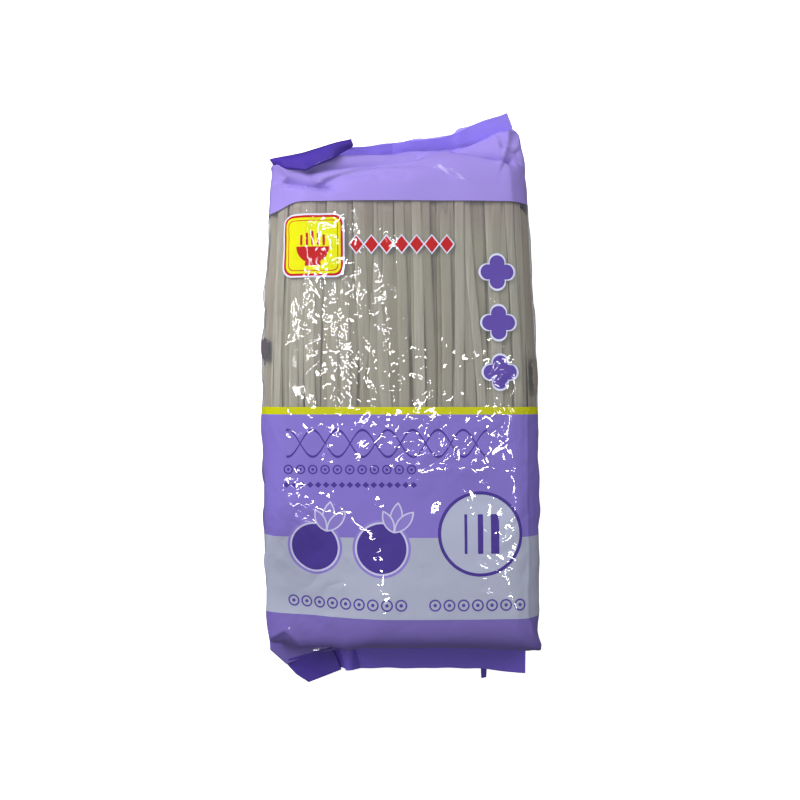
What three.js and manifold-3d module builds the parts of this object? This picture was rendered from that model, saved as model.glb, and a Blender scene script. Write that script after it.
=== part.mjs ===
// A sealed pack of flat rice sticks, lying on its back with the printed front up.
//
// The pack is one sealed film bag, pulled tight round a brick of sticks: a rounded block whose side panels
// tuck inwards at both ends, closed by a crimped seal across each end. The top seal slants and its left
// end is folded over in an ear. The bottom seal has a folded ear at its left end, and the tail of the
// back seam hangs out of it. The bag can't be opened without tearing, so it is one closed solid.
//
// Millimetres. +Z is up, +Y runs towards the top seal, and +X is to the right when the front is read.
// The origin is the middle of the flat back that the pack lies on.

import * as THREE from "three";
import { LoftGeometry } from "three/addons/geometries/LoftGeometry.js";
import { mergeVertices } from "three/addons/utils/BufferGeometryUtils.js";
import Module from "manifold-3d";

const { clamp, lerp, smoothstep } = THREE.MathUtils;

// Driving dimensions of the filled bag
const BODY_WIDTH = 131; // between the side panels, before they bulge
const SIDE_BULGE = 3; // how far each side panel is pushed out at mid height
const TOP_NARROWING = 4.5; // how much each side draws in towards the top
const SIDEWAYS_DRIFT = -0.01; // how far the bag leans to the left for each millimetre towards the top
const BODY_DEPTH = 45; // between the back and the shoulders of the front
const FRONT_CROWN = 3; // how far the sticks push the middle of the front up
const CORNER_RADIUS = 11; // of the long edges
const BOTTOM_LEFT_SINK = 12; // how far the front falls away to that corner, where the sticks lie lower
const TOP_LEFT_SINK = 6;
const TUCK_DEPTH = 19; // of the side panel's fold, where the end closes
const TUCK_SHARPNESS = 1.6; // 1 is a plain V, and more has flatter flanks beside a deeper middle

// The crimped end seals
const SEAL_WIDTH = 12; // from the seal line to the cut edge
const SEAL_THICKNESS = 0.9; // of the film layers pressed together
const FOLD_THICKNESS = 1.2; // of an ear, where the seal lies double

// How many faces
const PANEL_STEPS = 14; // on each of the four panels of a section
const BODY_STEPS = 18;
const END_STEPS = 12;
const SEAL_STEPS = 4;
const END_CROWDING = 2.5; // 1 spaces the rows of an end evenly, and more draws them to the seal line

// The two ends differ in where the seal lies and how it is bent. Each rule takes the place across the
// pack: slant is how much further out the seal line runs there, lift how much higher, lean the angle that
// the seal stands up at, inset how far the seal's cut edge steps sideways for each millimetre of its
// width, and flare how far the closing end's corner is pushed out sideways.
const TOP = {
  start: 101, // where the section stops being full
  side: 1,
  reach: 21.7, // from there to the middle of the seal line
  squareness: 3, // 2 is a round end, and more is a squarer one
  height: 24, // of the seal line above the ground
  seal: { left: -63.5, right: 56 },
  slant: (x) => (x > 0 ? 12 : -9) * (x / 57) ** 2, // rises from left to right
  lift: (x) => 6 * smoothstep(x, 5, 57),
  lean: (x) => lerp(1.2, 1.1, smoothstep(x, 25, 32)), // a step where the right part bends back
  inset: (x) => -0.35 * smoothstep(x, 30, 56), // the right end is cut at a slant
  flare: () => 0,
};
const BOTTOM = {
  start: -103,
  side: -1,
  reach: 22,
  squareness: 3.2,
  height: 18,
  seal: { left: -60, right: 64 },
  slant: (x) => 2.5 * smoothstep(x, 35, 64) - 2 * smoothstep(-x, 20, 60),
  lift: (x) => 3 * Math.exp(-(((x + 26) / 4) ** 2)), // the ridge where the left ear folds off
  lean: () => -0.1,
  inset: (x) => 0.8 * smoothstep(-x, 20, 60), // the left end is folded away under its ear
  flare: (x) => 3 * smoothstep(x, 30, 60),
};

// The outline of a section: a rounded rectangle, with its points spread evenly along the four panels.
function roundedRectangle(width, depth, radius) {
  const points = [];
  const corners = [[-1, -1], [-1, 1], [1, 1], [1, -1]];
  for (let panel = 0; panel < 4; panel++) {
    const from = corners[panel];
    const to = corners[(panel + 1) % 4];
    for (let step = 0; step < PANEL_STEPS; step++) {
      const share = step / PANEL_STEPS;
      const x = (lerp(from[0], to[0], share) * width) / 2;
      const z = (lerp(from[1], to[1], share) * depth) / 2;
      const inner = new THREE.Vector2(
        clamp(x, radius - width / 2, width / 2 - radius),
        clamp(z, radius - depth / 2, depth / 2 - radius),
      );
      const out = new THREE.Vector2(x, z).sub(inner);
      points.push(inner.add(out.setLength(radius)));
    }
  }
  return points;
}

// How far the front lies below the full brick of sticks.
function sink(x, y) {
  return (
    BOTTOM_LEFT_SINK * smoothstep(-x, 5, 62) * smoothstep(-y, 50, 105) +
    TOP_LEFT_SINK * smoothstep(-x, 44, 62) * smoothstep(y, 40, 95)
  );
}

// One section of the bag. `closing` runs from 0, where the body is full, to 1 at the seal line, and
// `beyond` is the distance past the seal line. An end closes along a squared quarter of an ellipse.
function section(y, end, closing, beyond) {
  const angle = (closing * Math.PI) / 2;
  const openness = Math.cos(angle) ** (2 / end.squareness);
  const shut = 1 - openness;
  const narrowing = TOP_NARROWING * smoothstep(y, 0, 125);
  const width = lerp(BODY_WIDTH - 2 * narrowing, end.seal.right - end.seal.left, shut ** 2);
  const centre = lerp(SIDEWAYS_DRIFT * y, (end.seal.right + end.seal.left) / 2, shut);
  const depth = Math.max(BODY_DEPTH * openness, SEAL_THICKNESS);
  const radius = Math.min(CORNER_RADIUS * openness ** 3 + 0.2, depth / 2 - 0.05);
  const tuck = TUCK_DEPTH * Math.sqrt(1 - openness ** 2) * smoothstep(depth, 2, 14);
  const out = end.reach * Math.sin(angle) ** (2 / end.squareness);

  return roundedRectangle(width, depth, radius).map(({ x, y: z }) => {
    const up = clamp(z / (depth / 2), -1, 1); // 1 on the front, -1 on the back
    const across = x / (width / 2);
    const onSide = smoothstep(Math.abs(across), 0.8, 0.97); // 1 on the side panels
    const bulge = SIDE_BULGE * openness * (1 - up ** 2);
    const fold = tuck * (1 - Math.abs(up)) ** TUCK_SHARPNESS;
    const flare = 4 * shut * openness * end.flare(x);
    const px = x + Math.sign(x) * onSide * (bulge - fold) + flare + centre;
    const crown = FRONT_CROWN * (1 - across ** 2);
    const raised = (crown - sink(px, y)) * openness * Math.max(up, 0);
    const middle = lerp(BODY_DEPTH / 2, end.height, shut);
    return new THREE.Vector3(
      px + beyond * end.inset(px),
      y + end.side * (out + shut * end.slant(px) + beyond * Math.cos(end.lean(px))),
      middle + z + raised + shut * end.lift(px) + beyond * Math.sin(end.lean(px)),
    );
  });
}

// The sections from the bottom seal's cut edge to the top seal's.
function sections() {
  const upTo = (steps) => [...Array(steps).keys()].map((i) => (i + 1) / steps);
  const endRows = (end) => [
    ...upTo(END_STEPS).map((share) => section(end.start, end, 1 - (1 - share) ** END_CROWDING, 0)),
    ...upTo(SEAL_STEPS).map((share) => section(end.start, end, 1, SEAL_WIDTH * share)),
  ];
  const bodyRows = [0, ...upTo(BODY_STEPS)].map((share) => {
    const y = lerp(BOTTOM.start, TOP.start, share);
    return section(y, y < 0 ? BOTTOM : TOP, 0, 0);
  });
  return [...endRows(BOTTOM).reverse(), ...bodyRows, ...endRows(TOP)];
}

// A folded ear of the seal: a flat double layer with the outline given, tipped by `pitch` about Y.
function ear(outline, height, pitch) {
  const shape = new THREE.Shape(outline.map(([x, y]) => new THREE.Vector2(x, y)));
  const geometry = new THREE.ExtrudeGeometry(shape, { depth: FOLD_THICKNESS, bevelEnabled: false });
  const [hingeX, hingeY] = outline[0];
  return geometry
    .translate(-hingeX, -hingeY, -FOLD_THICKNESS / 2)
    .rotateY(pitch)
    .translate(hingeX, hingeY, height);
}

const wasm = await Module();
wasm.setup();

// A closed geometry as a solid that can be joined to others.
function solid(geometry) {
  geometry.deleteAttribute("normal");
  geometry.deleteAttribute("uv");
  const merged = mergeVertices(geometry, 1e-4);
  return new wasm.Manifold(
    new wasm.Mesh({
      numProp: 3,
      vertProperties: new Float32Array(merged.attributes.position.array),
      triVerts: new Uint32Array(merged.index.array),
    }),
  );
}

// The solid as a geometry again.
function geometryOf(manifold) {
  const mesh = manifold.getMesh();
  const geometry = new THREE.BufferGeometry();
  geometry.setAttribute("position", new THREE.BufferAttribute(mesh.vertProperties, 3));
  geometry.setIndex(new THREE.BufferAttribute(mesh.triVerts, 1));
  geometry.computeVertexNormals();
  return geometry;
}

// The skin through the sections, closed at each cut edge by a strip between its front and back edges.
function closedLoft(rows) {
  const loft = new LoftGeometry(rows);
  const columns = rows[0].length;
  const index = [...loft.index.array];
  const cap = (row, flip) => {
    const vertex = (k) => row * (columns + 1) + ((k + columns) % columns);
    const left = PANEL_STEPS / 2; // the middle of the left side panel
    for (let k = 0; k < columns / 2; k++) {
      const [frontA, frontB] = [vertex(left + k), vertex(left + k + 1)];
      const [backA, backB] = [vertex(left - k), vertex(left - k - 1)];
      const faces = [[frontA, backA, backB], [frontB, frontA, backB]];
      faces
        .filter((face) => new Set(face).size === 3)
        .forEach((face) => index.push(...(flip ? face.reverse() : face)));
    }
  };
  cap(0, false);
  cap(rows.length - 1, true);
  return new THREE.BufferGeometry().setAttribute("position", loft.attributes.position).setIndex(index);
}

const bag = closedLoft(sections());

// The ears start inside the seal, at its left end, so that they join it.
const topEar = ear([[-63, 117], [-24, 128.5], [-25.5, 123], [-33, 119.5], [-53, 116]], 26, -0.2);
const bottomEar = ear([[-60, -126], [-60, -133.5], [-46.5, -144.5], [-29.5, -137], [-31, -126]], 17.5, 0);

// The end of the back seam, which hangs out of the bottom seal.
const TAIL_WIDTH = 3;
const TAIL_LENGTH = 9;
const tail = new THREE.BoxGeometry(TAIL_WIDTH, TAIL_LENGTH, FOLD_THICKNESS)
  .rotateX(0.1)
  .translate(42.5, -138.5, 16.8);

const pack = [topEar, bottomEar, tail].map(solid).reduce((whole, piece) => whole.add(piece), solid(bag));

const printedFilm = new THREE.MeshStandardMaterial({ color: 0x8f7bd0, roughness: 0.25, metalness: 0 });

const group = new THREE.Group();
const packMesh = new THREE.Mesh(geometryOf(pack), printedFilm);
packMesh.name = "stick_pack";
group.add(packMesh);

export default group;
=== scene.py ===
"""A sealed pack of flat rice sticks: printed film with a clear window, drawn tight over the real strips.

The film repeats the rule of the pack's solid with finer steps, and its folds, dents and crumples are
moved out of that surface. Lengths are millimetres until a mesh is made. The pack lies on its back: +Z is
up, +Y runs towards the top seal and +X is to the right when the front is read.
"""

import math
from types import SimpleNamespace

import bpy
import numpy as np
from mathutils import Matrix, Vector


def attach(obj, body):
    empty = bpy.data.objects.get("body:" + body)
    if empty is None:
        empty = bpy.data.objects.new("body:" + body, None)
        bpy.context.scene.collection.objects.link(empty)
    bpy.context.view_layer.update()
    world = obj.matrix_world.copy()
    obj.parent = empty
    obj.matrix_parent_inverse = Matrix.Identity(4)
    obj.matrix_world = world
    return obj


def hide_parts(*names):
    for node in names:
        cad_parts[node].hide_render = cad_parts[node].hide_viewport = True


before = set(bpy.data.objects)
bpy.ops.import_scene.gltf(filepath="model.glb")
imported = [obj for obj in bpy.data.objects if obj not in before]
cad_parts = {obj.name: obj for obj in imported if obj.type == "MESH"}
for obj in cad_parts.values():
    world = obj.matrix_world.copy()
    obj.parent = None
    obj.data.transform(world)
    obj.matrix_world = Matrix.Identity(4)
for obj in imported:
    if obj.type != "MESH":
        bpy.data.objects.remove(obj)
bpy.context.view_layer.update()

MM = 0.001  # in metres
SEED = 11

# ---------------------------------------------------------------- the camera, floor and light

CAMERA_HEIGHT = 478  # above the floor, straight over the middle of the pack
PHOTO_WIDTH = 800  # pixels
FOCAL_LENGTH = 903  # pixels
SENSOR = 36


def place_camera():
    data = bpy.data.cameras.new("camera")
    data.sensor_width = SENSOR
    data.lens = SENSOR * FOCAL_LENGTH / PHOTO_WIDTH
    data.clip_start = 0.01
    camera = bpy.data.objects.new("camera", data)
    camera.location = (0, 0, CAMERA_HEIGHT * MM)
    bpy.context.collection.objects.link(camera)
    bpy.context.scene.camera = camera


def area_light(name, place, size, radiance, turn=0.0):
    """A rectangular light in metres that looks at the pack, turned about its own axis."""
    data = bpy.data.lights.new(name, "AREA")
    data.shape = "RECTANGLE"
    data.size, data.size_y = size
    data.energy = radiance * math.pi * size[0] * size[1]
    light = bpy.data.objects.new(name, data)
    light.location = place
    light.rotation_euler = Vector(place).to_track_quat("Z", "Y").to_euler()
    light.rotation_euler.rotate_axis("Z", math.radians(turn))
    bpy.context.collection.objects.link(light)
    return light


SKY = (0.10, 0.50)  # strength of the white surroundings at the horizon and overhead
# The soft lights: name, place and size in metres, and radiance
SOFT_LIGHTS = [
    ("key", (-0.45, 0.32, 0.40), (0.45, 0.45), 7.7),
    ("fill", (0.50, 0.35, 0.40), (0.50, 0.50), 2.2),
]
FRONT_HEIGHT = 48  # where the crowned front is highest
LAMP_HEIGHT = 1300  # above the front of the pack
LAMP_WIDTH = 0.024  # in metres
LAMP_RADIANCE = 90
# Where the front shows the image of each lamp, the lamp's length in metres and its turn in degrees
LAMPS = [
    (-42, 44, 0.18, 30),
    (-24, 18, 0.18, -20),
    (8, -18, 0.12, -25),
    (50, 2, 0.18, -35),
    (58, -66, 0.20, 88),
    (-52, -58, 0.12, 60),
    (-30, -86, 0.14, 15),
    (-40, 88, 0.10, 0),
]


def light_the_stage():
    """White surroundings that light the pack most from above, a wide key from the top left, a fill from the
    top right, and long narrow lamps far overhead, which only the gloss of the film shows. The camera sees a
    plain white backdrop."""
    world = bpy.data.worlds.new("studio")
    world.use_nodes = True
    tree = world.node_tree
    up = add(tree, "SeparateXYZ", (add(tree, "TexCoord"),)).outputs["Z"]
    strength = add(tree, "MapRange", (up, 0.0, 1.0, *SKY))
    seen = add(tree, "LightPath").outputs["Is Camera Ray"]
    background = tree.nodes["Background"]
    background.inputs["Color"].default_value = linear("#ffffff")
    tree.links.new(either(tree, strength, seen).outputs[0], background.inputs["Strength"])
    scene = bpy.context.scene
    scene.world = world
    scene.view_settings.view_transform = "Standard"
    for name, place, size, radiance in SOFT_LIGHTS:
        light = area_light(name, place, size, radiance)
        light.visible_glossy = False
    bend = 8 * FRONT_CROWN / BODY_WIDTH**2  # of the crowned front, which mirrors a wider view across
    away_y = 1 + LAMP_HEIGHT / (CAMERA_HEIGHT - FRONT_HEIGHT)
    away_x = away_y + 2 * bend * LAMP_HEIGHT
    for number, (x, y, length, turn) in enumerate(LAMPS):
        place = (x * away_x * MM, y * away_y * MM, (FRONT_HEIGHT + LAMP_HEIGHT) * MM)
        lamp = area_light(f"lamp_{number}", place, (length, LAMP_WIDTH), LAMP_RADIANCE, turn)
        lamp.visible_diffuse = False


# ---------------------------------------------------------------- the film's shape

BODY_WIDTH = 131  # between the side panels, before they bulge
SIDE_BULGE = 3  # how far each side panel is pushed out at mid height
TOP_NARROWING = 4.5  # how much each side draws in towards the top
SIDEWAYS_DRIFT = -0.01  # how far the bag leans to the left for each millimetre towards the top
BODY_DEPTH = 45  # between the back and the shoulders of the front
FRONT_CROWN = 3  # how far the sticks push the middle of the front up
CORNER_RADIUS = 11  # of the long edges
BOTTOM_LEFT_SINK = 12  # how far the front falls away to that corner, where the sticks lie lower
TOP_LEFT_SINK = 6
TUCK_DEPTH = 19  # of the side panel's fold, where the end closes
TUCK_SHARPNESS = 1.6  # 1 is a plain V, and more has flatter flanks beside a deeper middle

SEAL_THICKNESS = 0.5  # of the film layers pressed together
RIB_PITCH = 1.2  # of the crimp pressed into the seals
RIB_HEIGHT = 0.016
SEAL_WAVE = 0.3  # how far the cut edges of the seals wave up and down
BENT_BACK = (25, 29)  # where the right part of the top seal starts to bend back, and has bent back

# The corners that a section passes from the middle of the back, and the columns between them: half the
# back, the left side, the front, the right side and half the back
CORNERS = [(0, -1), (-1, -1), (-1, 1), (1, 1), (1, -1), (0, -1)]
COLUMNS = [30, 36, 150, 36, 30]
BODY_ROWS = 170
END_ROWS = 52
SEAL_ROWS = 44


def smooth(value, low, high):
    """0 below low and 1 above high, with a soft rise between them."""
    share = np.clip((value - low) / (high - low), 0, 1)
    return share * share * (3 - 2 * share)


def lerp(start, end, share):
    return start + (end - start) * share


def top_lean(x):
    """Steeper towards the right, up to the part that is bent back."""
    upright = 1.08 + 0.19 * smooth(x, 2, 22)
    return lerp(upright, 0.97, smooth(x, *BENT_BACK)) + 0.2 * smooth(x, 34, 56)


# The two ends: where the section stops being full, the reach from there to the seal line, how squarely the
# end closes, the seal line's height and where it starts and stops, and the seal's width. Each rule takes the
# place across the pack. Slant is how much further out the seal line runs there, lift how much higher, lean
# the angle that the seal stands up at, inset how far its cut edge steps sideways for each millimetre of its
# width, and flare how far the closing end's corner is pushed out sideways.
TOP = SimpleNamespace(
    start=101,
    side=1,
    reach=21.7,
    squareness=3,
    height=24,
    seal=(-63.5, 56),
    width=12,
    slant=lambda x: np.where(x > 0, 12, -9) * (x / 57) ** 2 - 3 * smooth(-x, -10, 6),
    lift=lambda x: 6 * smooth(x, 5, 57),
    lean=top_lean,
    inset=lambda x: -0.35 * smooth(x, 30, 56),
    flare=lambda x: 0 * x,
)
BOTTOM = SimpleNamespace(
    start=-103,
    side=-1,
    reach=20,
    squareness=3.2,
    height=18,
    seal=(-60, 64),
    width=14,
    slant=lambda x: 2.5 * smooth(x, 35, 64) - 2 * smooth(-x, 20, 60),
    lift=lambda x: 3 * np.exp(-(((x + 26) / 4) ** 2)),
    lean=lambda x: -0.1 + 0 * x,
    inset=lambda x: 0.8 * smooth(-x, 20, 60),
    flare=lambda x: 3 * smooth(x, 30, 60),
)

PATH = np.concatenate([
    np.linspace(start, end, steps, endpoint=False)
    for start, end, steps in zip(CORNERS, CORNERS[1:], COLUMNS)
])


def sink(x, y):
    """How far the front lies below the full brick of sticks."""
    return (BOTTOM_LEFT_SINK * smooth(-x, 5, 62) * smooth(-y, 50, 105)
            + TOP_LEFT_SINK * smooth(-x, 44, 62) * smooth(y, 40, 95))


def section(y, end, closing, beyond):
    """Sections of the film, a row for each y. Closing is 0 where the bag is full and 1 at the seal line,
    and beyond is the way past it."""
    angle = closing * math.pi / 2
    openness = np.clip(np.cos(angle), 0, 1) ** (2 / end.squareness)
    shut = 1 - openness
    left, right = end.seal
    width = lerp(BODY_WIDTH - 2 * TOP_NARROWING * smooth(y, 0, 125), right - left, shut**2)
    centre = lerp(SIDEWAYS_DRIFT * y, (right + left) / 2, shut)
    depth = np.maximum(BODY_DEPTH * openness, SEAL_THICKNESS)
    radius = np.minimum(CORNER_RADIUS * openness**3 + 0.2, depth / 2 - 0.05)
    tuck = TUCK_DEPTH * np.sqrt(1 - openness**2) * smooth(depth, 2, 14)
    out = end.reach * np.sin(angle) ** (2 / end.squareness)

    x = PATH[:, 0] * width / 2
    z = PATH[:, 1] * depth / 2
    inner_x = np.clip(x, radius - width / 2, width / 2 - radius)
    inner_z = np.clip(z, radius - depth / 2, depth / 2 - radius)
    away = radius / np.hypot(x - inner_x, z - inner_z)
    x = inner_x + (x - inner_x) * away
    z = inner_z + (z - inner_z) * away

    up = np.clip(z / (depth / 2), -1, 1)
    across = x / (width / 2)
    bulge = SIDE_BULGE * openness * (1 - up**2)
    fold = tuck * (1 - np.abs(up)) ** TUCK_SHARPNESS
    on_side = smooth(np.abs(across), 0.8, 0.97)
    px = x + np.sign(x) * on_side * (bulge - fold) + 4 * shut * openness * end.flare(x) + centre
    crown = FRONT_CROWN * (1 - across**2)
    raised = (crown - sink(px, y)) * openness * np.maximum(up, 0)
    wavy = np.sin(px / 4.3) + np.sin(px / 2.6 + 1)
    rib = RIB_HEIGHT * np.sin(2 * math.pi * beyond / RIB_PITCH) * smooth(beyond, 0.5, 2)
    rib = rib + SEAL_WAVE * wavy * beyond / end.width
    lean = end.lean(px)
    return np.stack([
        px + beyond * end.inset(px),
        y + end.side * (out + shut * end.slant(px) + beyond * np.cos(lean) - rib * np.sin(lean)),
        lerp(BODY_DEPTH / 2, end.height, shut)
        + z + raised + shut * end.lift(px) + beyond * np.sin(lean) + rib * np.cos(lean),
    ], axis=-1)


def film_rows():
    """The film's smooth surface, from the bottom seal's cut edge to the top one's, and how far each row has
    closed, from 0 to 1."""
    def upto(steps):
        return (np.arange(steps) + 1)[:, None] / steps

    def end_rows(end):
        """Rows spread evenly along the way from the full bag to the seal line, and then across the seal."""
        angle = np.linspace(0, 1, 4000) * math.pi / 2
        out = end.reach * np.sin(angle) ** (2 / end.squareness)
        up = BODY_DEPTH / 2 * np.maximum(np.cos(angle), 0) ** (2 / end.squareness)
        along = np.concatenate([[0], np.cumsum(np.hypot(np.diff(out), np.diff(up)))])
        closing = np.interp(upto(END_ROWS) * along[-1], along, angle / angle[-1])
        beyond = end.width * upto(SEAL_ROWS)
        return np.concatenate([section(end.start, end, closing, 0 * closing),
                               section(end.start, end, 1 + 0 * beyond, beyond)])

    y = lerp(BOTTOM.start, TOP.start, np.linspace(0, 1, BODY_ROWS + 1))[:, None]
    body = section(y, TOP, 0 * y, 0 * y)
    rows = np.concatenate([end_rows(BOTTOM)[::-1], body, end_rows(TOP)])
    ended = np.concatenate([upto(END_ROWS), np.full((SEAL_ROWS, 1), 1.0)])
    shut = np.concatenate([ended[::-1], 0 * y, ended])
    return rows, shut


def outward(points):
    """The outward direction at each point of a grid that is closed round its columns."""
    round_it = np.roll(points, -1, axis=1) - np.roll(points, 1, axis=1)
    along_it = np.gradient(points, axis=0)
    normal = np.cross(round_it, along_it)
    return normal / np.maximum(np.linalg.norm(normal, axis=-1, keepdims=True), 1e-9)


# ---------------------------------------------------------------- its relief

DEEPEST_DENT = 0.45  # before the film meets the sticks
PRINT_PULL = 4.5  # how far the print is pulled down at the top left corner
FIELD_STEP = 0.5  # between the points of a field of waves
FIELD_ROUND = 704  # steps round the film, the whole way
FIELD_ALONG = 640  # steps from end to end, and more


def crumple(short, long, seed):
    """An even field of waves between short and long millimetres, with a spread of 1."""
    white = np.random.default_rng(SEED + seed).standard_normal((FIELD_ALONG, FIELD_ROUND))
    along = np.fft.fftfreq(FIELD_ALONG, FIELD_STEP)[:, None]
    round_it = np.fft.fftfreq(FIELD_ROUND, FIELD_STEP)[None, :]
    waves = np.maximum(np.hypot(along, round_it), 1e-6)
    middle = 1 / math.sqrt(short * long)
    spread = math.log(long / short) / 2
    keep = np.exp(-((np.log(waves / middle) / spread) ** 2))
    field = np.fft.ifft2(np.fft.fft2(white) * keep).real
    return field / field.std()


def sample(field, u, v):
    """The field at u round the film and v along it."""
    column = u / FIELD_STEP + FIELD_ROUND / 2
    row = v / FIELD_STEP + FIELD_ALONG / 2
    left, below = np.floor(column).astype(int), np.floor(row).astype(int)
    right_share, up_share = column - left, row - below

    def corner(r, c):
        return field[r % FIELD_ALONG, c % FIELD_ROUND]

    lower = lerp(corner(below, left), corner(below, left + 1), right_share)
    upper = lerp(corner(below + 1, left), corner(below + 1, left + 1), right_share)
    return lerp(lower, upper, up_share)


def patch(x, y, centre_x, centre_y, reach_x, reach_y):
    """1 at the centre, fading out at about the reach."""
    return np.exp(-(((x - centre_x) / reach_x) ** 2) - ((y - centre_y) / reach_y) ** 2)


LEAST_CRUMPLED, MOST_CRUMPLED = 0.25, 0.55
# Where the film is crumpled more: x, y, reach along each, and strength
CRUMPLED = [
    (-34, 36, 30, 28, 0.9),
    (-10, 10, 34, 12, 0.6),
    (-45, 86, 22, 8, 0.7),
    (-12, 82, 16, 7, 0.5),
    (-57, 45, 8, 45, 0.4),
    (52, 4, 11, 14, 1.0),
    (-18, -16, 30, 12, 0.3),
    (22, -26, 20, 12, 0.3),
    (-54, -60, 10, 16, 0.8),
    (-34, -82, 30, 16, 0.3),
    (50, -80, 12, 14, 0.5),
    (60, -50, 6, 50, 0.6),
    (-45, -108, 18, 7, 0.4),
]

# Folds of the front, most of them near its ends. Each is a line of points, with its height, and how far it
# reaches to the left and to the right of the way it runs.
FOLDS = [
    ([(-56.3, 104.8), (-48, 102.8), (-41, 101.9), (-34.4, 101.2)], -4.8, 3.2, 0.8),
    ([(-60.5, 115.6), (-55.6, 111.7), (-55.1, 108.3), (-57.8, 106.6)], 1.8, 2, 2),
    ([(-36, 105), (-24, 110), (-12, 115.5)], -2.2, 1.2, 4),
    ([(-44, 112), (-27, 115), (-11, 118), (8, 121)], -6.0, 3, 4),
    ([(-42, 117.5), (-28, 120), (-10, 122.3)], 2.5, 1, 3),
    ([(-3, 114.1), (12, 113.7), (23.7, 108.9)], -1.6, 1.2, 5),
    ([(-23.4, 107.3), (-13.7, 109.3), (-9.8, 107.3)], -1.2, 1.5, 1.5),
    ([(-4.9, 108.8), (2.4, 107.3)], -1.0, 1.5, 1.5),
    ([(27, 122), (36, 121), (45, 117.8), (53.5, 115)], -8, 3.5, 1.2),
    ([(29, 123.5), (40, 126), (50, 128.5)], 3.0, 1, 3),
    ([(49.5, 115), (54, 130)], 2.8, 2.5, 1),
    ([(-22.6, -124), (-19.5, -137)], -1.1, 2.0, 1.0),
    ([(-30.6, -125), (-26.6, -137)], 1.5, 4, 0.6),
    ([(47.3, 125.4), (48.3, 118)], 1.6, 1.5, 1.5),
    ([(49.8, 124), (58, 120.5)], -2.6, 1, 2),
    ([(52, 113), (53.5, 96)], 1.0, 5, 3),
    ([(-44.7, -124.1), (-40, -121.8), (-34.5, -121.4), (-29.7, -123.4), (-24.2, -121.4), (-21, -122)],
     1.6, 4, 2),
    ([(-66, -119), (-56, -112.5), (-45.4, -123)], 2.0, 5, 3),
    ([(46.9, -122.3), (54.7, -121.2), (62.5, -122)], 1.3, 4, 2),
    ([(61.5, -6), (61, -40), (62, -75), (61.5, -106)], 0.5, 0.7, 1.0),
    ([(-62, -12), (-56.5, -24), (-56, -39), (-57, -52)], 0.35, 0.7, 1.0),
    ([(62.5, -107.5), (63.5, -112.5), (69, -121.5)], 1.6, 1.5, 1.5),
]


def crumpling(x, y):
    """How strongly the film is crumpled: most where CRUMPLED says, and little on the band along the top."""
    strength = LEAST_CRUMPLED + sum(s * patch(x, y, *place) for *place, s in CRUMPLED)
    return np.minimum(strength, MOST_CRUMPLED) * (1 - 0.7 * smooth(y, 90, 96))


def ridge(x, y, line, left, right):
    """1 along a line of points, falling off to either side and past its ends."""
    nearest = np.full(x.shape, np.inf)
    reach = np.full(x.shape, float(left))
    for (x0, y0), (x1, y1) in zip(line, line[1:]):
        way_x, way_y = x1 - x0, y1 - y0
        share = np.clip(((x - x0) * way_x + (y - y0) * way_y) / (way_x**2 + way_y**2), 0, 1)
        off = np.hypot(x - x0 - share * way_x, y - y0 - share * way_y)
        on_left = way_x * (y - y0) - way_y * (x - x0) > 0
        reach = np.where(off < nearest, np.where(on_left, left, right), reach)
        nearest = np.minimum(nearest, off)
    return np.exp(-nearest / reach)


def relief(points, normal, u, v, shut):
    """How far each point of the film is moved out of the smooth surface."""
    x, y, z = np.moveaxis(points, -1, 0)
    front = smooth(normal[..., 2], 0.1, 0.6)
    side = 1 - smooth(np.abs(normal[..., 2]), 0.3, 0.8)
    calm = 1 - smooth(shut, 0.75, 1.0)

    pillow = 0.14 * sample(crumple(25, 50, 1), u, v)
    dents = 0.16 * sample(crumple(10, 22, 2), u, v)
    creases = -0.11 * np.abs(sample(crumple(7, 14, 3), u, v))
    bulges = 0.45 * side * np.maximum(sample(crumple(18, 40, 5), u, v), -0.3)

    moved = pillow + (dents + creases) * crumpling(x, y) + bulges
    moved = np.maximum(moved, -DEEPEST_DENT) * calm
    for line, height, left, right in FOLDS:
        moved = moved + height * front * ridge(x, y, line, left, right)
    return moved


def add_object(name, mesh, material):
    made = bpy.data.objects.new(name, mesh)
    mesh.materials.append(material)
    bpy.context.collection.objects.link(made)
    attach(made, "root")
    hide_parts("stick_pack")
    return made


def grid_mesh(name, points, u=None, v=None):
    """A tube of rows of points, closed round its columns and by one flat face at each end. With u and v,
    each point has its place in the print."""
    rows, columns = points.shape[:2]
    index = np.arange(rows * columns).reshape(rows, columns)
    here, beside = index, np.roll(index, -1, axis=1)
    quads = np.stack([here[:-1], beside[:-1], beside[1:], here[1:]], axis=-1).reshape(-1, 4)
    faces = [*quads.tolist(), index[0][::-1].tolist(), index[-1].tolist()]
    mesh = bpy.data.meshes.new(name)
    mesh.from_pydata((points.reshape(-1, 3) * MM).tolist(), [], faces)
    mesh.polygons.foreach_set("use_smooth", [True] * len(quads) + [False, False])
    if u is not None:
        corners = np.zeros((len(mesh.loops), 2))
        wide_u = np.concatenate([u, -u[:, :1]], axis=1)
        wide_v = np.concatenate([v, v[:, :1]], axis=1)
        place = np.stack([wide_u, wide_v], axis=-1)
        each = np.stack([place[:-1, :-1], place[:-1, 1:], place[1:, 1:], place[1:, :-1]], axis=2)
        corners[: 4 * len(quads)] = each.reshape(-1, 2)
        corners[4 * len(quads):] = np.concatenate([place[0, :-1][::-1], place[-1, :-1]])
        mesh.uv_layers.new(name="print").uv.foreach_set("vector", corners.ravel())
    return mesh


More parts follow.
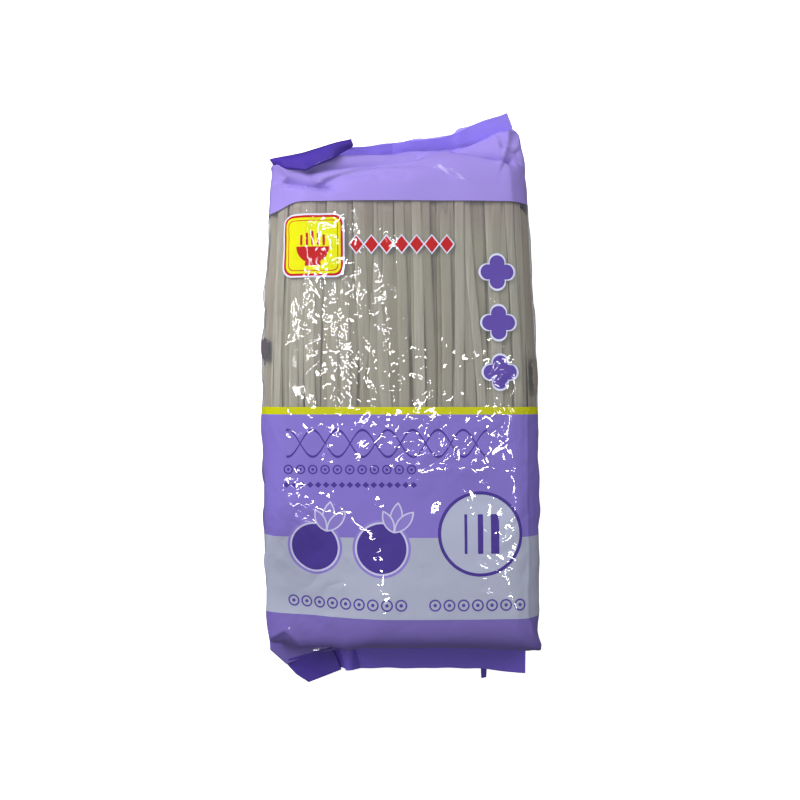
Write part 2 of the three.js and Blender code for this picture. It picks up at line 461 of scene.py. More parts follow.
def film_surface():
    """The film's points and where each lies in the print: u round the film and v along it."""
    points, shut = film_rows()
    loop = np.concatenate([points, points[:, :1]], axis=1)
    steps = np.linalg.norm(np.diff(loop, axis=1), axis=-1)
    u = np.cumsum(steps, axis=1) - steps
    middle = sum(COLUMNS[:2]) + COLUMNS[2] // 2
    body_row = len(points) // 2
    u = u - u[:, middle: middle + 1]
    front = points[:, middle]
    v = np.concatenate([[0], np.cumsum(np.linalg.norm(np.diff(front, axis=0), axis=1))])
    v = v - np.interp(0, front[:, 1], v)
    v = np.repeat(v[:, None], points.shape[1], axis=1)
    v = v + PRINT_PULL * smooth(-points[..., 0], 49, 66) * smooth(points[..., 1], 84, 93)
    film_u = np.repeat(u[body_row: body_row + 1], len(points), axis=0)

    normal = outward(points)
    moved = points + normal * relief(points, normal, film_u, v, shut)[..., None]
    moved[..., 2] = np.maximum(moved[..., 2], 0.5)
    return moved, u, v


def bag_film(material):
    """The bag itself, and how strongly each point is crumpled for the finest creases."""
    points, u, v = film_surface()
    mesh = grid_mesh("bag_film", points, u, v)
    strength = crumpling(points[..., 0], points[..., 1])
    mesh.attributes.new("crumpling", "FLOAT", "POINT").data.foreach_set("value", strength.ravel())
    add_object("bag_film", mesh, material)
    return points


FOLD_THICKNESS = 0.6
FOLD_STEPS_ALONG, FOLD_STEPS_ACROSS = 48, 24


def folded_sheet(name, near, far, material, curl=0.0):
    """A thin fold of film between two edges, each given by a few points, curled up between them."""
    def spread(edge):
        edge = np.array(edge, float)
        along = np.concatenate([[0], np.cumsum(np.linalg.norm(np.diff(edge, axis=0), axis=1))])
        at = np.linspace(0, along[-1], FOLD_STEPS_ALONG)
        return np.stack([np.interp(at, along, edge[:, axis]) for axis in range(3)], axis=-1)

    share = np.linspace(0, 1, FOLD_STEPS_ACROSS)[:, None, None]
    middle = lerp(spread(near), spread(far), share)
    width = np.linalg.norm(np.array(far[0]) - np.array(near[0]))
    rib = RIB_HEIGHT * np.sin(2 * math.pi * share * width / RIB_PITCH)
    across, along = np.gradient(middle, axis=0), np.gradient(middle, axis=1)
    normal = np.cross(along, across)
    normal /= np.maximum(np.linalg.norm(normal, axis=-1, keepdims=True), 1e-9)
    middle = middle + normal * (curl * np.sin(math.pi * share) + rib)
    upper, lower = middle + normal * FOLD_THICKNESS / 2, middle - normal * FOLD_THICKNESS / 2
    points = np.concatenate([upper, lower[:, ::-1]], axis=1)
    add_object(name, grid_mesh(name, points), material)


def seal_ends(material, band_film):
    """The folded-over left ends of both seals, and the tail of the back seam below the bottom one."""
    folded_sheet(
        "top_seal_ear",
        [(-61, 114.5, 36), (-55.5, 112, 42), (-45.5, 109.8, 47), (-32.2, 115.8, 45.5), (-24.9, 122.4, 38)],
        [(-63.5, 117.2, 33), (-45, 121.5, 36.5), (-23.4, 127.2, 38.5)],
        material, curl=3.0,
    )
    folded_sheet(
        "bottom_seal_ear",
        [(-58.2, -133.4, 17.5), (-56.4, -131.8, 18.5), (-43.8, -127.8, 20), (-34.6, -125.3, 20.5)],
        [(-58.0, -134.2, 17.2), (-53, -140.0, 16.5), (-46.6, -144.3, 16), (-29.8, -137.0, 18.5)],
        material, curl=0.5,
    )
    folded_sheet(
        "bottom_corner_fold",
        [(-66.5, -118.5, 21), (-50, -121, 21), (-30, -120.7, 21)],
        [(-66, -126.8, 19), (-57.8, -134.6, 17.8), (-45, -128.5, 19.5), (-30, -126, 21)],
        band_film, curl=0.8,
    )
    folded_sheet(
        "seam_tail",
        [(41.1, -133, 15.9), (44.6, -133, 15.9)],
        [(41.6, -142.4, 15.6), (44.2, -141.8, 15.6)],
        material,
    )


BACK_SEAM = (43, 33)  # its two edges, right of the middle as the front is read


def back_seam(material, film):
    """The lengthwise seam on the back, folded flat to one side, from one end seal to the other."""
    back = film[SEAL_ROWS:-SEAL_ROWS, -COLUMNS[-1]:]
    first, last = (np.argmin(abs(back[len(back) // 2, :, 0] - x)) for x in BACK_SEAM)
    under = back[::2, first: last + 1]
    normal = outward(film)[SEAL_ROWS:-SEAL_ROWS, -COLUMNS[-1]:][::2, first: last + 1]
    outer, inner = under + normal * 0.45, under + normal * 0.02
    points = np.concatenate([outer, inner[:, ::-1]], axis=1)
    points[..., 2] = np.maximum(points[..., 2], 0.02)
    add_object("back_seam", grid_mesh("back_seam", points), material)


# ---------------------------------------------------------------- shader helpers


def linear(text):
    """An sRGB hex colour as linear red, green, blue and alpha."""
    parts = [int(text[at: at + 2], 16) / 255 for at in (1, 3, 5)]
    return [*(p / 12.92 if p <= 0.04045 else ((p + 0.055) / 1.055) ** 2.4 for p in parts), 1.0]


def add(tree, kind, inputs=(), **settings):
    """Adds a node with its settings. An input is a value, a socket, or a node, whose first output is
    linked."""
    made = tree.nodes.new("ShaderNode" + kind)
    for name, value in settings.items():
        setattr(made, name, value)
    for key, value in inputs.items() if isinstance(inputs, dict) else enumerate(inputs):
        if isinstance(value, bpy.types.Node):
            value = value.outputs[0]
        if isinstance(value, bpy.types.NodeSocket):
            tree.links.new(value, made.inputs[key])
        else:
            made.inputs[key].default_value = value
    return made


def new_material(name):
    material = bpy.data.materials.new(name)
    material.use_nodes = True
    material.node_tree.nodes.clear()
    return material, material.node_tree


# ---------------------------------------------------------------- the print

BOTTOM_SEAL_LINE, TOP_SEAL_LINE = -138.5, 134.5  # measured along the film, as all places in the print are
BANDS = [  # from the bottom up: where each starts, its colour and whether the film is inked there
    (-200, "#7059cf", 1),  # the bottom seal: ink painted paler, as light against the body's shadow
    (BOTTOM_SEAL_LINE, "#7161ad", 1),
    (-104.8, "#a7acc2", 1),
    (-65.7, "#7d6dc2", 1),
    (-6.9, "#c0c100", 1),
    (-3.3, "#b9b4c4", 0),  # the window
    (95.2, "#9786d4", 1),
]
TOP_SEAL_INK_AND_PAINTED_LIGHT = ("#a08ee8", "#c6b8ff")  # the seal's ink, then the same ink painted paler, as light, where it is bent back
DARK_INK = "#432f8c"
PALE_INK = "#c3c2e2"
OUTLINE = "#d3d6ee"
RED = "#b3191b"
YELLOW = "#d8d800"
VIOLET = "#5a46a0"
SMALL_PRINT = "#54419a"


def distance(tree, place, centre):
    """How far the place is from the centre."""
    off = add(tree, "VectorMath", (place, (*centre, 0)), operation="SUBTRACT")
    return add(tree, "VectorMath", (off,), operation="LENGTH").outputs["Value"]


def disc(tree, place, centre, radius):
    return add(tree, "Math", (distance(tree, place, centre), radius), operation="LESS_THAN")


def hoop(tree, place, centre, radius, line):
    off = distance(tree, place, centre)
    return add(tree, "Math", (off, radius, line / 2), operation="COMPARE")


def block(tree, place, centre, half, corner=0.0):
    """A rectangle with rounded corners."""
    off = add(tree, "VectorMath", (place, (*centre, 0)), operation="SUBTRACT")
    off = add(tree, "VectorMath", (off,), operation="ABSOLUTE")
    inner = (half[0] - corner, half[1] - corner, 0)
    off = add(tree, "VectorMath", (off, inner), operation="SUBTRACT")
    off = add(tree, "VectorMath", (off, (0, 0, 0)), operation="MAXIMUM")
    off = add(tree, "VectorMath", (off,), operation="LENGTH").outputs["Value"]
    return add(tree, "Math", (off, max(corner, 0.001)), operation="LESS_THAN")


def leaf(tree, place, foot, tip, fatness, line=None):
    """A pointed leaf between foot and tip, where two discs overlap. With a line, only its outline."""
    middle_x, middle_y = (foot[0] + tip[0]) / 2, (foot[1] + tip[1]) / 2
    half_x, half_y = (tip[0] - foot[0]) / 2, (tip[1] - foot[1]) / 2
    half = math.hypot(half_x, half_y)
    radius = half * (1 + fatness**2) / (2 * fatness)
    aside = (radius - half * fatness) / half
    offs = [
        distance(tree, place, (middle_x - side * aside * half_y, middle_y + side * aside * half_x))
        for side in (-1, 1)
    ]
    off = add(tree, "Math", offs, operation="MAXIMUM")
    if line is None:
        return add(tree, "Math", (off, radius), operation="LESS_THAN")
    return add(tree, "Math", (off, radius - line / 2, line / 2), operation="COMPARE")


def both(tree, one, other):
    return add(tree, "Math", (one, other), operation="MULTIPLY")


def either(tree, one, other):
    return add(tree, "Math", (one, other), operation="MAXIMUM")


def rosette(tree, place, centre, radius):
    """Four round petals round a small heart."""
    masks = [
        disc(tree, place, (centre[0] + 0.5 * radius * x, centre[1] + 0.5 * radius * y), radius * 0.42)
        for x, y in ((1, 0), (-1, 0), (0, 1), (0, -1))
    ]
    mask = disc(tree, place, centre, radius * 0.2)
    for petal in masks:
        mask = either(tree, mask, petal)
    return mask


def lozenges(tree, place, centre, count, pitch, half_height, grow=0.0):
    """A row of an odd count of lozenges a pitch apart, each grown on all sides for an outline."""
    axes = add(tree, "SeparateXYZ", (place,))
    along = add(tree, "Math", (axes.outputs["X"], centre[0]), operation="SUBTRACT")
    along = add(tree, "Math", (along, pitch / 2, -pitch / 2), operation="WRAP")
    along = add(tree, "Math", (along,), operation="ABSOLUTE")
    along = add(tree, "Math", (along, pitch * 0.44 + grow), operation="DIVIDE")
    up = add(tree, "Math", (axes.outputs["Y"], centre[1]), operation="SUBTRACT")
    up = add(tree, "Math", (up,), operation="ABSOLUTE")
    up = add(tree, "Math", (up, half_height + grow), operation="DIVIDE")
    off = add(tree, "Math", (along, up), operation="ADD")
    inside = add(tree, "Math", (off, 1.0), operation="LESS_THAN")
    row = block(tree, place, centre, (count * pitch / 2, half_height + grow))
    return both(tree, inside, row)


def wave(tree, place, centre, half_length, height, length, phase, line):
    """A thin wavy line."""
    axes = add(tree, "SeparateXYZ", (place,))
    angle = add(tree, "Math", (axes.outputs["X"], 2 * math.pi / length, phase), operation="MULTIPLY_ADD")
    curve = add(tree, "Math", (angle,), operation="SINE")
    curve = add(tree, "Math", (curve, height, centre[1]), operation="MULTIPLY_ADD")
    on_it = add(tree, "Math", (axes.outputs["Y"], curve, line / 2), operation="COMPARE")
    return both(tree, on_it, block(tree, place, centre, (half_length, height + line)))


def beads(tree, place, centre, count, pitch, radius, line):
    """A row of an odd count of rings a pitch apart, each with a dot in it."""
    axes = add(tree, "SeparateXYZ", (place,))
    along = add(tree, "Math", (axes.outputs["X"], centre[0]), operation="SUBTRACT")
    along = add(tree, "Math", (along, pitch / 2, -pitch / 2), operation="WRAP")
    cell = add(tree, "CombineXYZ", (along, axes.outputs["Y"], 0.0))
    bead = either(tree, hoop(tree, cell, (0, centre[1]), radius - line / 2, line),
                  disc(tree, cell, (0, centre[1]), radius * 0.3))
    return both(tree, bead, block(tree, place, centre, (count * pitch / 2, radius)))


def artwork(tree, place):
    """The print over the bands, from the bottom layer up: pairs of a mask and its colour. The first two are
    dark patches with ragged edges, one on each side panel."""
    ragged = add(tree, "TexNoise", {"Vector": place, "Scale": 0.5, "Detail": 2.0}).outputs["Color"]
    ragged = add(tree, "VectorMath", (ragged, (0.5, 0.5, 0.5)), operation="SUBTRACT")
    ragged = add(tree, "VectorMath", (ragged, (9.0, 9.0, 0.0), place), operation="MULTIPLY_ADD")
    for at, half, shade in (((-70, 24), (4, 6), "#5e5862"), ((69, 12), (3, 9), "#8c867e")):
        yield block(tree, ragged, at, half, 1.0), shade

    badge = (-41.1, 73.9)
    for inset, corner, ink in [
        (0.0, 5.0, OUTLINE), (0.8, 4.4, RED), (1.9, 3.6, YELLOW), (3.1, 2.8, RED), (3.5, 2.6, YELLOW),
    ]:
        yield block(tree, place, badge, (15.4 - inset, 15.3 - inset), corner), ink
    bowl = disc(tree, place, (badge[0], badge[1] - 0.5), 8.0)
    lower_half = block(tree, place, (badge[0], badge[1] - 4.8), (8.6, 4.3))
    yield both(tree, bowl, lower_half), RED
    yield block(tree, place, (badge[0], badge[1] - 8.8), (3.8, 0.9)), RED
    for step in range(-2, 3):
        foot = (badge[0] + 2.7 * step, badge[1] + 3.6 - 0.5 * abs(step))
        yield block(tree, place, foot, (0.6, 3.4 - 0.4 * abs(step)), 0.5), RED

    row = (1.5, 74.3)
    yield lozenges(tree, place, row, 7, 7.2, 4.0, grow=0.8), OUTLINE
    yield lozenges(tree, place, row, 7, 7.2, 4.0), RED

    for at in ((47.1, 61.2), (47.6, 37.0), (48.1, 13.3)):
        yield rosette(tree, place, at, 9.8), OUTLINE
        yield rosette(tree, place, at, 8.7), VIOLET

    for phase in (0.0, math.pi):
        yield wave(tree, place, (-6.7, -20.7), 48, 6.4, 24, phase, 1.2), DARK_INK
    yield beads(tree, place, (-24.3, -33.2), 11, 5.9, 2.3, 0.7), DARK_INK
    yield lozenges(tree, place, (-24.3, -40.5), 17, 3.8, 1.5), DARK_INK

    for at, radius in (((-41.9, -70.5), 11.3), ((-9.5, -71.0), 11.9)):
        yield disc(tree, place, at, radius + 2.1), "#8878c8"
        yield disc(tree, place, at, radius + 0.9), PALE_INK
        yield disc(tree, place, at, radius), DARK_INK
        for turn, length in ((0.15, 15), (0.75, 14), (-0.45, 12)):
            foot = (at[0] + 6.0, at[1] + 7.5)
            tip = (foot[0] + length * math.sin(turn), foot[1] + length * math.cos(turn))
            yield leaf(tree, place, foot, tip, 0.42), "#8878c8"
            yield leaf(tree, place, foot, tip, 0.42, 0.7), PALE_INK

    ring = (37.8, -64.0)
    yield disc(tree, place, ring, 20.4), "#adb2cb"
    yield hoop(tree, place, ring, 19.6, 1.6), DARK_INK
    for step, half_width in ((-1, 0.7), (0, 1.3), (1, 2.0)):
        yield block(tree, place, (ring[0] + 7.0 * step, ring[1]), (half_width, 9.5), 0.4), DARK_INK

    yield beads(tree, place, (-27.6, -98.0), 9, 6.8, 2.9, 0.8), SMALL_PRINT
    yield beads(tree, place, (36.2, -98.0), 7, 6.8, 2.9, 0.8), SMALL_PRINT


# From coarse to fine: the size of a crease, its height, and how far its noise is shifted
CRINKLES = [(14, 2.2, 0.0), (7, 0.8, 40.0), (3.2, 0.12, 80.0)]


def crinkles(tree, place, strength):
    """The height of the sharp little creases that run about in stiff film, in patches."""
    height = 0.0
    for cell, depth, shift in CRINKLES:
        moved = add(tree, "VectorMath", (place, (shift, shift, shift)), operation="ADD")
        noise = {"Vector": moved, "Detail": 0.0, "Distortion": 0.6}
        off = add(tree, "TexNoise", {**noise, "Scale": 1 / cell})
        off = add(tree, "Math", (off, 0.5), operation="SUBTRACT")
        back = add(tree, "Math", (off, -1.0), operation="MULTIPLY")
        off = add(tree, "Math", (off, back, 0.1), operation="SMOOTH_MAX")
        here = add(tree, "TexNoise", {**noise, "Scale": 0.4 / cell})
        here = add(tree, "Math", (strength, 0.25, here), operation="MULTIPLY_ADD")
        here = add(tree, "MapRange", (here, 0.52, 0.66), interpolation_type="SMOOTHSTEP")
        crease = add(tree, "Math", (off, here), operation="MULTIPLY")
        height = add(tree, "Math", (crease, depth, height), operation="MULTIPLY_ADD")
    return add(tree, "Math", (height, strength), operation="MULTIPLY")


def relief_of(tree, height):
    """A height in millimetres as a change of the surface's direction."""
    return add(tree, "Bump", {"Height": height, "Strength": 1.0, "Distance": MM})


def printed_film():
    """Polypropylene film printed on its inside. It gives flat inks under a hard sharp gloss, a clear window
    that turns milky at a slant, and a glow in the top seal, where light comes through from behind. The
    bent-back part of the top seal and the whole bottom seal have inks painted paler, as painted light."""
    material, tree = new_material("printed_polypropylene_film")
    place = add(tree, "UVMap", uv_map="print")
    axes = add(tree, "SeparateXYZ", (place,))
    across, along = axes.outputs["X"], axes.outputs["Y"]
    sealed_top = add(tree, "Math", (along, TOP_SEAL_LINE), operation="GREATER_THAN")
    sealed_bottom = add(tree, "Math", (along, BOTTOM_SEAL_LINE), operation="LESS_THAN")

    ink, inked = linear(BANDS[0][1]), 1.0
    for start, shade, solid in BANDS[1:]:
        past = add(tree, "Math", (along, start), operation="GREATER_THAN")
        ink = add(tree, "MixRGB", (past, ink, linear(shade)))
        inked = add(tree, "Mix", {"Factor": past, "A": inked, "B": float(solid)})
    # Painted light: the top seal's ink turns paler where its right part is bent back towards the light.
    painted_light_where_bent_back = add(tree, "MapRange", (across, *BENT_BACK))
    seal_ink_with_painted_light = add(tree, "MixRGB", (painted_light_where_bent_back, *map(linear, TOP_SEAL_INK_AND_PAINTED_LIGHT)))
    ink = add(tree, "MixRGB", (sealed_top, ink, seal_ink_with_painted_light))
    for mask, shade in artwork(tree, place):
        ink = add(tree, "MixRGB", (mask, ink, linear(shade)))
        inked = either(tree, inked, mask)

    crumpling_here = add(tree, "Attribute", attribute_name="crumpling").outputs["Fac"]
    height = crinkles(tree, place, crumpling_here)
    ribs = add(tree, "Math", (along, 2 * math.pi / RIB_PITCH), operation="MULTIPLY")
    ribs = add(tree, "Math", (ribs,), operation="SINE")
    ribs = both(tree, ribs, either(tree, sealed_top, sealed_bottom))
    bump = relief_of(tree, add(tree, "Math", (ribs, RIB_HEIGHT, height), operation="MULTIPLY_ADD"))

    printed = add(tree, "BsdfPrincipled", {
        "Base Color": ink, "Specular IOR Level": 0.0, "Normal": bump,
        "Coat Weight": 1.0, "Coat Roughness": 0.03, "Coat IOR": 1.5, "Coat Normal": bump,
    })
    backlit = add(tree, "BsdfTranslucent", {"Color": linear("#d2c4ff")})
    let_through = add(tree, "Math", (sealed_top, 0.48), operation="MULTIPLY")
    printed = add(tree, "MixShader", (let_through, printed, backlit))

    through = add(tree, "BsdfTransparent", {"Color": linear("#fdfcfd")})
    haze = add(tree, "BsdfDiffuse", {"Color": linear("#b4b6c4")})
    slanting = add(tree, "LayerWeight", {"Blend": 0.5}).outputs["Facing"]
    milky = add(tree, "Math", (slanting, 3.0), operation="POWER")
    milky = add(tree, "Math", (milky, 0.75, 0.11), operation="MULTIPLY_ADD")
    clear = add(tree, "MixShader", (milky, through, haze))
    gloss = add(tree, "BsdfGlossy", {"Color": linear("#ffffff"), "Roughness": 0.03, "Normal": bump})
    mirrored = add(tree, "Math", (slanting, 5.0), operation="POWER")
    mirrored = add(tree, "Math", (mirrored, 0.96, 0.04), operation="MULTIPLY_ADD")
    clear = add(tree, "MixShader", (mirrored, clear, gloss))
    whole = add(tree, "MixShader", (inked, clear, printed))
    add(tree, "OutputMaterial", {"Surface": whole})
    return material


def plain_film(name, dark, light):
    """The same film where it is folded double: one flat ink, a little uneven, under a softer gloss."""
    material, tree = new_material(name)
    place = add(tree, "TexCoord").outputs["Object"]
    place = add(tree, "VectorMath", (place, (1000.0, 1000.0, 1000.0)), operation="MULTIPLY")
    bump = relief_of(tree, crinkles(tree, place, 0.4))
    mottle = add(tree, "TexNoise", {"Vector": place, "Scale": 0.15, "Detail": 2.0})
    ink = add(tree, "MixRGB", (mottle, linear(dark), linear(light)))
    shader = add(tree, "BsdfPrincipled", {
        "Base Color": ink, "Specular IOR Level": 0.0,
        "Coat Weight": 1.0, "Coat Roughness": 0.1, "Coat IOR": 1.5, "Coat Normal": bump,
    })
    add(tree, "OutputMaterial", {"Surface": shader})
    return material


# ---------------------------------------------------------------- the rice sticks

STRIP_WIDTH = 5.2
STRIP_THICKNESS = 0.6
STRIP_LENGTH = 197
STRIP_STEPS = 30
STRIP_SIDES = 10
UNDER_FILM = 1.0  # from the film down to the middle of the topmost strips
BEHIND_SIDES = 0.7  # the same behind the side panels
BEHIND_FRONT = 3.9  # from the film down to the core
CORE_LENGTH = 232
FLAT_EDGE = BODY_WIDTH / 2 - CORNER_RADIUS * 0.45  # the outermost place of a strip of the front
# The layers that lie against the front: the step from strip to strip, how far down each layer starts, and
# how much paler its tone is painted: painted light, as the topmost strips catch the light
LAYERS = [(9.0, 0.0, 0.45), (6.2, 0.5, 0.0), (5.2, 1.1, -0.1), (4.8, 1.7, -0.2)]
# Gaps between the strips of the three upper layers: x, half the width, and the y where each starts to open
# and is open
GAPS = [(-2.8, 2.2, 26, 60), (-9.5, 1.2, 44, 20), (-18, 0.7, 40, 80), (31, 0.6, 50, 85), (-44, 0.6, 30, -20)]


def in_brick(x, y):
    """The brick of sticks narrows and drifts as the film round it does."""
    return x * (1 - 2 * TOP_NARROWING * smooth(y, 0, 125) / BODY_WIDTH) + SIDEWAYS_DRIFT * y


def over_corner(x):
    """How far across the rounded long edge a place on the front is, from 0 on the flat to 1 at the side."""
    return max(0, (abs(x) - BODY_WIDTH / 2 + CORNER_RADIUS) / CORNER_RADIUS)


def front_height(x):
    drop = CORNER_RADIUS * (1 - math.sqrt(1 - over_corner(x) ** 2))
    return BODY_DEPTH + FRONT_CROWN * (1 - (2 * x / BODY_WIDTH) ** 2) - drop


def pushed_aside(x, y):
    """How far a strip at x makes way for the gaps beside it, all along its length."""
    aside = 0 * y
    for gap_x, half, start, opened in GAPS:
        beside = x - gap_x
        most = math.copysign(half, beside) * math.exp(-abs(beside) / 8)
        aside = aside + most * smooth(y, start, opened)
    return aside


def strip(rng, x, z, roll, lean, makes_way=False, painted_paler=0.0):
    """One strip through x and z, rolled about its length and leaning across the pack: its points, and its
    tone from 0 for the darkest dough to 1 for the palest, with painted light added that makes it paler
    towards the left and right and on the upper layers. Each is bent and twisted a little."""
    share = np.linspace(-0.5, 0.5, STRIP_STEPS)
    turn = np.arange(STRIP_SIDES) * 2 * math.pi / STRIP_SIDES
    flat = np.sign(np.cos(turn)) * np.abs(np.cos(turn)) ** 0.5 * STRIP_WIDTH / 2
    thick = np.sign(np.sin(turn)) * np.abs(np.sin(turn)) ** 0.7 * STRIP_THICKNESS / 2

    y = share * STRIP_LENGTH * rng.uniform(0.97, 1.0) + rng.uniform(-1, 1)
    width = rng.uniform(0.8, 1.1)
    bend = rng.uniform(-0.9, 0.9) * np.sin(share * math.pi * rng.uniform(1, 3) + rng.uniform(0, 6))
    lift = 0.3 * np.sin(share * math.pi * rng.uniform(2, 4) + rng.uniform(0, 6)) - 0.3
    rolled = (roll + rng.uniform(-0.07, 0.07) * np.sin(share * 5 + rng.uniform(0, 6)))[:, None]
    off_x = flat * width * np.cos(rolled) - thick * np.sin(rolled)
    off_z = flat * width * np.sin(rolled) + thick * np.cos(rolled)

    outward_x, outward_z = -math.sin(roll), math.cos(roll)
    run = x + lean * y + bend * abs(outward_z)
    if makes_way:
        run = run + pushed_aside(x, y)
    middle_x = in_brick(run, y) + outward_x * lift
    middle_z = z + lift * outward_z + bend * abs(outward_x)
    points = np.stack([
        middle_x[:, None] + off_x,
        np.repeat(y[:, None], STRIP_SIDES, 1),
        middle_z[:, None] + off_z,
    ], axis=-1)
    points[..., 2] -= sink(points[..., 0], points[..., 1]) * np.clip(points[..., 2] / BODY_DEPTH, 0, 1)
    # Painted light: paler towards the left and right of the pack, where more light falls, darker in the
    # middle.
    painted_side_light = 0.5 * smooth(-x, 5, 40) + 0.4 * smooth(x, 20, 55) - 0.1
    return points, rng.uniform(0, 0.8) + painted_side_light + painted_paler


def front_strips(rng):
    for layer, (pitch, down, painted_paler) in enumerate(LAYERS):
        for x in np.arange(-FLAT_EDGE + 1.1 * layer, FLAT_EDGE, pitch):
            x = np.clip(x + rng.uniform(-1.3, 1.3), -FLAT_EDGE, FLAT_EDGE)
            turned = math.copysign(math.asin(over_corner(x)), x)
            level = UNDER_FILM + down + rng.uniform(0, 0.6)
            lean = rng.normal(0, 0.028) * max(0, 1 - over_corner(1.15 * x))
            yield strip(rng, x - level * math.sin(turned), front_height(x) - level * math.cos(turned),
                        rng.uniform(-0.05, 0.05) - turned, lean, layer < 3, painted_paler)


def back_strips(rng):
    for x in np.arange(CORNER_RADIUS + 1 - BODY_WIDTH / 2, BODY_WIDTH / 2 - CORNER_RADIUS, 5.3):
        roll = math.pi + rng.uniform(-0.08, 0.08)
        yield strip(rng, x, UNDER_FILM + 0.6, roll, rng.normal(0, 0.006))


def side_strips(rng):
    """Two strips round each upper long edge, and a stack of them behind each side panel."""
    for side in (-1, 1):
        for angle in (0.72, 1.18):
            reach = CORNER_RADIUS - UNDER_FILM - 1.0
            x = side * (BODY_WIDTH / 2 - CORNER_RADIUS + reach * math.sin(angle))
            yield strip(rng, x, BODY_DEPTH - CORNER_RADIUS + reach * math.cos(angle), -side * angle, 0.0)
        for z in np.arange(12.5, BODY_DEPTH - CORNER_RADIUS, 4.4):
            up = 2 * z / BODY_DEPTH - 1
            x = side * (BODY_WIDTH / 2 + SIDE_BULGE * (1 - up**2) - BEHIND_SIDES)
            roll = -side * math.pi / 2 + rng.uniform(-0.08, 0.08)
            yield strip(rng, x, z, roll, rng.normal(0, 0.002))


def rice_sticks(material):
    """All the strips that lie against the film, as one mesh. Each point has its strip's tone, with its
    painted light, and a rim of 1 at the strip's edges."""
    rng = np.random.default_rng(SEED)
    made = [*front_strips(rng), *back_strips(rng), *side_strips(rng)]
    rows, columns = STRIP_STEPS, STRIP_SIDES
    ring = np.arange(rows * columns).reshape(rows, columns)
    beside = np.roll(ring, -1, axis=1)
    quads = np.stack([ring[:-1], ring[1:], beside[1:], beside[:-1]], axis=-1).reshape(-1, 4).tolist()
    ends = [ring[0].tolist(), ring[-1][::-1].tolist()]
    rim = np.tile(np.abs(np.cos(np.arange(columns) * 2 * math.pi / columns)) ** 6, rows)
    faces, points, tones_and_painted_light = [], [], []
    for number, (strip_points, tone_and_painted_light) in enumerate(made):
        first = number * rows * columns
        faces += [[corner + first for corner in face] for face in quads + ends]
        points.append(strip_points.reshape(-1, 3))
        tones_and_painted_light += [tone_and_painted_light] * (rows * columns)
    mesh = bpy.data.meshes.new("rice_sticks")
    mesh.from_pydata((np.concatenate(points) * MM).tolist(), [], faces)
    mesh.attributes.new("tone_and_painted_light", "FLOAT", "POINT").data.foreach_set("value", tones_and_painted_light)
    mesh.attributes.new("rim", "FLOAT", "POINT").data.foreach_set("value", np.tile(rim, len(made)))
    mesh.shade_smooth()
    add_object("rice_sticks", mesh, material)


def stick_core(material, film):
    """The rest of the brick, seen dark in the gaps between the strips that lie on it. Its top end leaves out
    the film's folds and draws in, clear of them."""
    unfolded, _ = film_rows()
    inner = lerp(film, unfolded, smooth(unfolded[..., 1:2], 90, 98))
    inner = inner[abs(inner[:, sum(COLUMNS) // 2, 1]) < CORE_LENGTH / 2][::3, ::2]
    normal = outward(inner)
    flat = smooth(np.abs(normal[..., 2:]), 0.2, 0.9)
    inner = inner - normal * lerp(BEHIND_SIDES + 0.3, BEHIND_FRONT, flat)
    axis = inner * (0, 1, 0) + (0, 0, BODY_DEPTH / 2)
    inner = lerp(inner, axis, 0.25 * smooth(inner[..., 1:2], 91, 104))
    add_object("stick_core", grid_mesh("stick_core", inner), material)


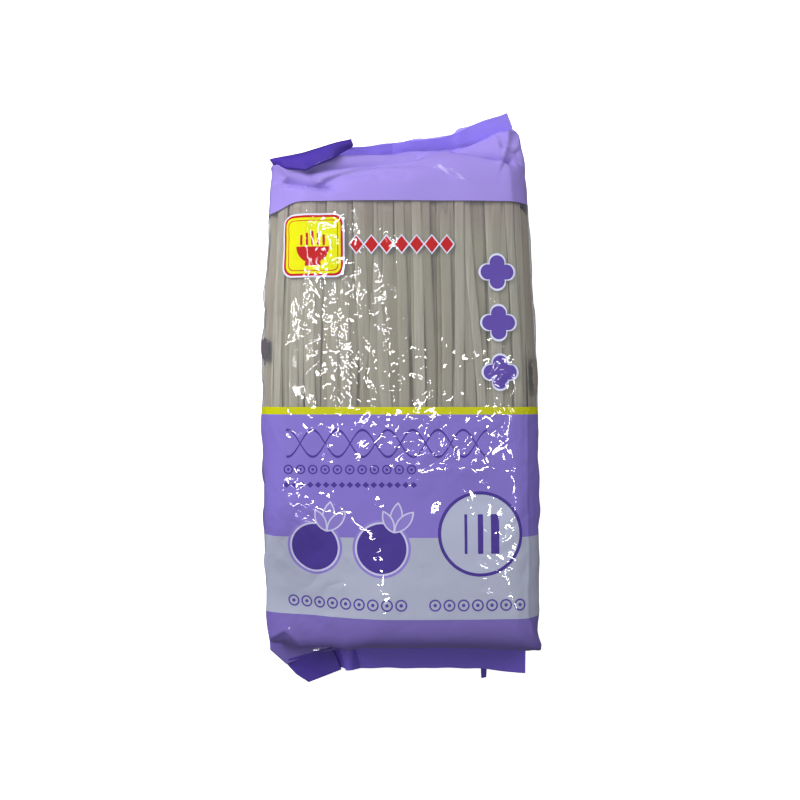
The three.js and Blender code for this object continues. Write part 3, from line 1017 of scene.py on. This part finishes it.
def rice_starch():
    """Dried rice dough, steamed in a sheet and cut. It is matt, cloudy and slightly see-through and streaked
    lengthwise. Light is painted in: paler along the thin edges, and a violet shade on the upper ends, where
    the band shades them."""
    material, tree = new_material("dried_rice_starch")
    place = add(tree, "TexCoord").outputs["Object"]
    tone_and_painted_light = add(tree, "Attribute", attribute_name="tone_and_painted_light").outputs["Fac"]
    rim = add(tree, "Attribute", attribute_name="rim").outputs["Fac"]
    stretched = add(tree, "VectorMath", (place, (900.0, 22.0, 900.0)), operation="MULTIPLY")
    streak = add(tree, "TexNoise", {"Vector": stretched, "Scale": 1.0, "Detail": 2.0})
    cloud = add(tree, "TexNoise", {"Vector": place, "Scale": 45.0, "Detail": 1.0})
    # The tone differs at random from strip to strip and also carries the strips' painted light.
    body = add(tree, "MixRGB", (tone_and_painted_light, linear("#77715a"), linear("#c6c5b8")))
    body = add(tree, "MixRGB", (streak, body, linear("#8e8a71")))
    clouded = add(tree, "MapRange", (cloud, 0.35, 0.7, 0.0, 0.5))
    body = add(tree, "MixRGB", (clouded, body, linear("#a3a18d")))
    # Painted light: paler along the strips' thin edges, where light shines through them.
    painted_edge_light = add(tree, "Math", (rim, 0.45), operation="MULTIPLY")
    colour = add(tree, "MixRGB", (painted_edge_light, body, linear("#c2bfa9")))
    up = add(tree, "SeparateXYZ", (place,)).outputs["Y"]
    # Painted shade: a violet cast on the upper ends of the strips, where the band shades them.
    painted_band_shade = add(tree, "MapRange", (up, 0.078, 0.098, 0.0, 0.45))
    colour = add(tree, "MixRGB", (painted_band_shade, colour, linear("#94797c")))
    bump = add(tree, "Bump", {"Height": streak, "Strength": 0.4, "Distance": 0.0002})
    shader = add(tree, "BsdfPrincipled", {
        "Base Color": colour, "Roughness": 0.7, "IOR": 1.53, "Specular IOR Level": 0.0,
        "Subsurface Weight": 0.25, "Subsurface Radius": (1.0, 0.95, 0.8), "Subsurface Scale": 0.001,
        "Normal": bump,
    })
    add(tree, "OutputMaterial", {"Surface": shader})
    return material


def shaded_starch():
    """The same dough deep in the brick, where little light comes."""
    material, tree = new_material("shaded_rice_starch")
    place = add(tree, "TexCoord").outputs["Object"]
    stretched = add(tree, "VectorMath", (place, (400.0, 12.0, 400.0)), operation="MULTIPLY")
    streak = add(tree, "TexNoise", {"Vector": stretched, "Scale": 1.0, "Detail": 2.0})
    colour = add(tree, "MixRGB", (streak, linear("#857c68"), linear("#aaa38f")))
    finish = {"Base Color": colour, "Roughness": 0.7, "Specular IOR Level": 0.0}
    shader = add(tree, "BsdfPrincipled", finish)
    add(tree, "OutputMaterial", {"Surface": shader})
    return material


# ---------------------------------------------------------------- putting it together


def light_table():
    """A white diffusing acrylic sheet lit from below, so that shadows on it stay pale. It is far wider than
    the view."""
    material, tree = new_material("lit_white_acrylic_table")
    grain = add(tree, "TexNoise", {"Scale": 300.0, "Detail": 2.0})
    shade = add(tree, "MixRGB", (grain, linear("#f2f2f2"), linear("#f8f8f8")))
    glow = add(tree, "Emission", {"Color": linear("#ffffff"), "Strength": 0.8})
    sheet = add(tree, "AddShader", (add(tree, "BsdfDiffuse", {"Color": shade}), glow))
    add(tree, "OutputMaterial", {"Surface": sheet})
    mesh = bpy.data.meshes.new("floor")
    corners = [(-6, -6, 0), (6, -6, 0), (6, 6, 0), (-6, 6, 0)]
    mesh.from_pydata(corners, [], [(0, 1, 2, 3)])
    mesh.materials.append(material)
    floor = bpy.data.objects.new("floor", mesh)
    floor.visible_glossy = False
    floor.visible_diffuse = False
    bpy.context.collection.objects.link(floor)


place_camera()
light_the_stage()
light_table()
film = bag_film(printed_film())
violet = plain_film("violet_polypropylene_film", "#3d2592", "#4c389e")
seal_ends(violet, plain_film("band_polypropylene_film", "#6555a6", "#7565b4"))
back_seam(violet, film)
rice_sticks(rice_starch())
stick_core(shaded_starch(), film)
